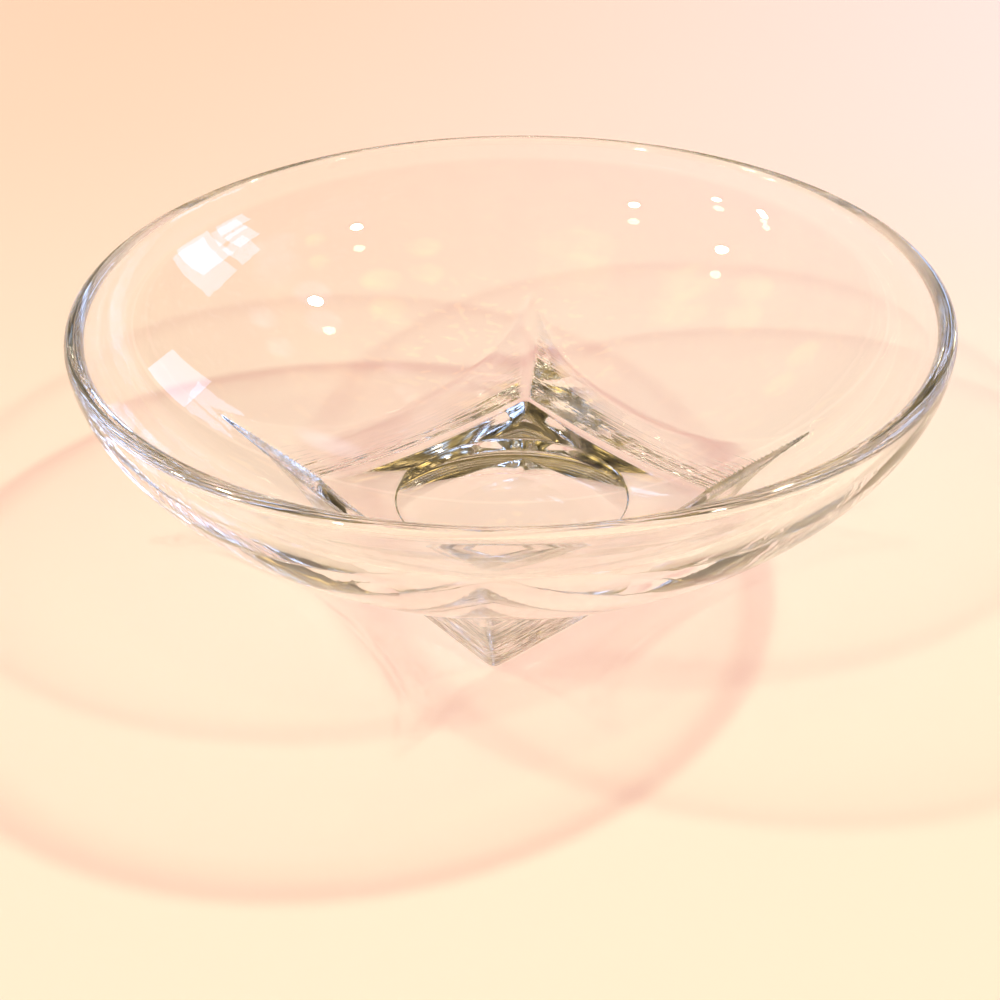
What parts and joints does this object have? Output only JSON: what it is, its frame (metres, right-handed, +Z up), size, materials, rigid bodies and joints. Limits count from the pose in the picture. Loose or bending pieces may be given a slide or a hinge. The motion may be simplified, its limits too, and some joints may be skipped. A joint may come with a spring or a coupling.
{
  "type": "floating candle bowl",
  "caption": "Round clear glass bowl with a rounded rim on a flaring square foot whose corners rise as pointed fins; holds water and a floating candle.",
  "frame": {"origin": "on the table, under the centre of the foot and on the bowl's own axis", "axes": "+Z up along the bowl's axis; the foot's four corners lie on +X, -X, +Y and -Y, and the corner nearest the camera points along -Y"},
  "size_m": [0.19, 0.19, 0.0658],
  "materials": {
    "clear_glass": "fire-polished clear glass"
  },
  "bodies": {
    "root": {"rim_bead": "clear_glass", "bowl_wall": "clear_glass", "bowl_base": "clear_glass", "square_foot": "clear_glass", "corner_fin_front": "clear_glass", "corner_fin_right": "clear_glass", "corner_fin_back": "clear_glass", "corner_fin_left": "clear_glass"}
  },
  "joints": []
}
